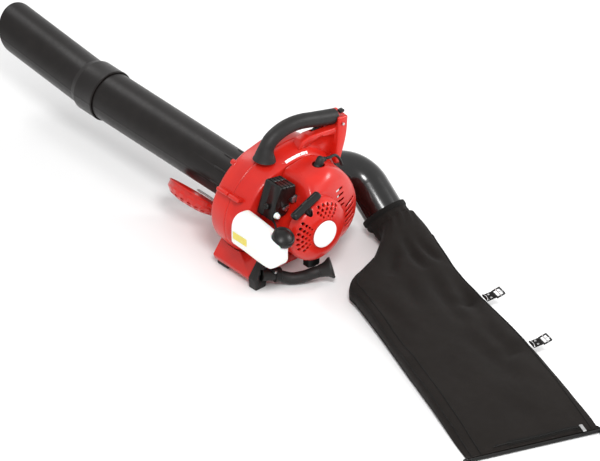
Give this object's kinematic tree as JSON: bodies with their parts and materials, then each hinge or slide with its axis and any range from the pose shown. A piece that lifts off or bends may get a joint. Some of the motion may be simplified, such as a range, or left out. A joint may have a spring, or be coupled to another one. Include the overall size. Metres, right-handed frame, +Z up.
{
  "type": "hand-held petrol leaf vacuum",
  "caption": "Hand-held petrol leaf vacuum: an engine-driven fan with a two-part suction tube, an outlet elbow and a fabric collection bag lying on the floor.",
  "frame": {"origin": "on the floor under the fan's shaft, on the underside of the centre foot pad", "axes": "+X forward, the way the fan's outlet points; +Y out of the fan's intake, along the suction tube; +Z up"},
  "size_m": [0.5154, 1.9125, 0.3445],
  "materials": {
    "fan_housing_tube_side": "glossy red",
    "fan_housing_engine_side": "glossy red",
    "outlet_collar": "black",
    "base_stand": "glossy red",
    "foot_pad_centre": "black",
    "foot_pad_rear": "black",
    "intake_guard": "glossy red",
    "guard_hinge_pin": "zinc",
    "guard_stay_rod": "zinc",
    "suction_tube_upper": "fine black grain",
    "suction_tube_lower": "fine black grain",
    "elbow": "glossy black",
    "elbow_clamp": "black",
    "bag": "black woven polyester",
    "bag_neck_band": "black webbing",
    "bag_end_rod": "black",
    "strap_tab_upper": "black webbing",
    "strap_tab_lower": "black webbing",
    "buckle_upper": "nickel",
    "buckle_lower": "nickel",
    "zip_pull": "nickel",
    "handle_core": "black",
    "handle_grip": "black, moulded grip",
    "handle_bracket": "glossy red",
    "bracket_screw": "zinc",
    "throttle_trigger": "black",
    "stop_switch": "black",
    "lower_handle_boot": "black",
    "lower_handle_clamp": "black",
    "lower_handle_bar": "black",
    "lower_handle_end": "black",
    "lower_handle_bracket": "black",
    "impeller": "black",
    "crankshaft": "ground",
    "flywheel": "cast",
    "crankcase": "cast",
    "cylinder": "cast",
    "spark_plug": "zinc and ceramic",
    "spark_plug_boot": "black",
    "ignition_lead": "black, ribbed",
    "ignition_coil": "black",
    "muffler": "pressed steel",
    "engine_cover": "glossy red",
    "starter_cover": "glossy red",
    "starter_badge": "blank white",
    "starter_reel": "black",
    "starter_rope": "braided",
    "starter_grip": "black, ribbed",
    "carburettor": "cast",
    "air_filter_base": "black",
    "air_filter_cover": "black",
    "filter_knob": "black",
    "choke_lever": "zinc",
    "primer_bulb": "clear",
    "fuel_tank": "milky, translucent",
    "tank_label": "blank yellow label",
    "fuel_cap": "black",
    "fuel_line": "black"
  },
  "bodies": {
    "machine": {"fan_housing_tube_side": "fan_housing_tube_side", "fan_housing_engine_side": "fan_housing_engine_side", "outlet_collar": "outlet_collar", "base_stand": "base_stand", "foot_pad_centre": "foot_pad_centre", "foot_pad_rear": "foot_pad_rear", "guard_hinge_pin": "guard_hinge_pin", "suction_tube_upper": "suction_tube_upper", "elbow": "elbow", "elbow_clamp": "elbow_clamp", "bag": "bag", "bag_neck_band": "bag_neck_band", "bag_end_rod": "bag_end_rod", "strap_tab_upper": "strap_tab_upper", "strap_tab_lower": "strap_tab_lower", "handle_core": "handle_core", "handle_grip": "handle_grip", "handle_bracket": "handle_bracket", "bracket_screw": "bracket_screw", "lower_handle_boot": "lower_handle_boot", "lower_handle_clamp": "lower_handle_clamp", "lower_handle_bar": "lower_handle_bar", "lower_handle_end": "lower_handle_end", "lower_handle_bracket": "lower_handle_bracket", "crankcase": "crankcase", "cylinder": "cylinder", "spark_plug": "spark_plug", "spark_plug_boot": "spark_plug_boot", "ignition_lead": "ignition_lead", "ignition_coil": "ignition_coil", "muffler": "muffler", "engine_cover": "engine_cover", "starter_cover": "starter_cover", "starter_badge": "starter_badge", "carburettor": "carburettor", "air_filter_base": "air_filter_base", "air_filter_cover": "air_filter_cover", "fuel_tank": "fuel_tank", "tank_label": "tank_label", "fuel_line": "fuel_line"},
    "rotor": {"impeller": "impeller", "crankshaft": "crankshaft", "flywheel": "flywheel"},
    "guard": {"intake_guard": "intake_guard", "guard_stay_rod": "guard_stay_rod"},
    "trigger": {"throttle_trigger": "throttle_trigger"},
    "switch": {"stop_switch": "stop_switch"},
    "choke": {"choke_lever": "choke_lever"},
    "primer": {"primer_bulb": "primer_bulb"},
    "cap": {"fuel_cap": "fuel_cap"},
    "knob": {"filter_knob": "filter_knob"},
    "grip": {"starter_grip": "starter_grip", "starter_rope": "starter_rope"},
    "reel": {"starter_reel": "starter_reel"},
    "lower_tube": {"suction_tube_lower": "suction_tube_lower"},
    "upper_buckle": {"buckle_upper": "buckle_upper"},
    "lower_buckle": {"buckle_lower": "buckle_lower"},
    "zip": {"zip_pull": "zip_pull"}
  },
  "joints": [
    {"name": "rotor_spin", "type": "hinge", "parent": "machine", "child": "rotor", "pos_m": [0, 0, 0.149], "axis": [0, 1, 0], "continuous": true},
    {"name": "guard_hinge", "type": "hinge", "parent": "machine", "child": "guard", "pos_m": [-0.05821, 0.062, 0.08435], "axis": [-0.7431, 0, 0.6691], "range_deg": [-3, 10]},
    {"name": "throttle_pull", "type": "hinge", "parent": "machine", "child": "trigger", "pos_m": [0.1475, -0.012, 0.2965], "axis": [0, 1, 0], "range_deg": [0, 9], "stiffness_Nm_per_rad": 1, "springref_deg": -8.59},
    {"name": "stop_slide", "type": "slide", "parent": "machine", "child": "switch", "axis": [-1, 0, 0], "range_m": [0, 0.004]},
    {"name": "choke_slide", "type": "slide", "parent": "machine", "child": "choke", "axis": [-1, 0, 0], "range_m": [0, 0.006]},
    {"name": "primer_press", "type": "slide", "parent": "machine", "child": "primer", "axis": [0, 1, 0], "range_m": [0, 0.004], "stiffness_N_per_m": 800},
    {"name": "cap_turn", "type": "hinge", "parent": "machine", "child": "cap", "pos_m": [-0.107, -0.173, 0.176], "axis": [0.0803, -0.4618, 0.8834], "range_deg": [0, 180]},
    {"name": "knob_turn", "type": "hinge", "parent": "machine", "child": "knob", "pos_m": [-0.07873, -0.086, 0.20382], "axis": [-0.9412, 0, 0.3379], "range_deg": [0, 180]},
    {"name": "grip_pull", "type": "slide", "parent": "machine", "child": "grip", "axis": [-0.2899, 0.1199, 0.9495], "range_m": [0, 0.3], "stiffness_N_per_m": 12, "springref_m": -0.5},
    {"name": "reel_turn", "type": "hinge", "parent": "machine", "child": "reel", "pos_m": [0, -0.158, 0.149], "axis": [0, -1, 0], "range_deg": [0, 716.2]},
    {"name": "lower_tube_slide", "type": "slide", "parent": "machine", "child": "lower_tube", "axis": [0, 1, 0], "range_m": [0, 0.05]},
    {"name": "upper_buckle_hinge", "type": "hinge", "parent": "machine", "child": "upper_buckle", "pos_m": [0.24433, -0.48485, 0.0295], "axis": [-0.2249, -0.9744, 0], "range_deg": [-10, 10]},
    {"name": "lower_buckle_hinge", "type": "hinge", "parent": "machine", "child": "lower_buckle", "pos_m": [0.20333, -0.68785, 0.0275], "axis": [-0.2249, -0.9744, 0], "range_deg": [-10, 10]},
    {"name": "zip_slide", "type": "slide", "parent": "machine", "child": "zip", "axis": [-0.9465, 0.3227, 0], "range_m": [0, 0.2]}
  ],
  "couplings": [
    {"joint": "reel_turn", "follows": "grip_pull", "rad_per_m": 41.667}
  ]
}
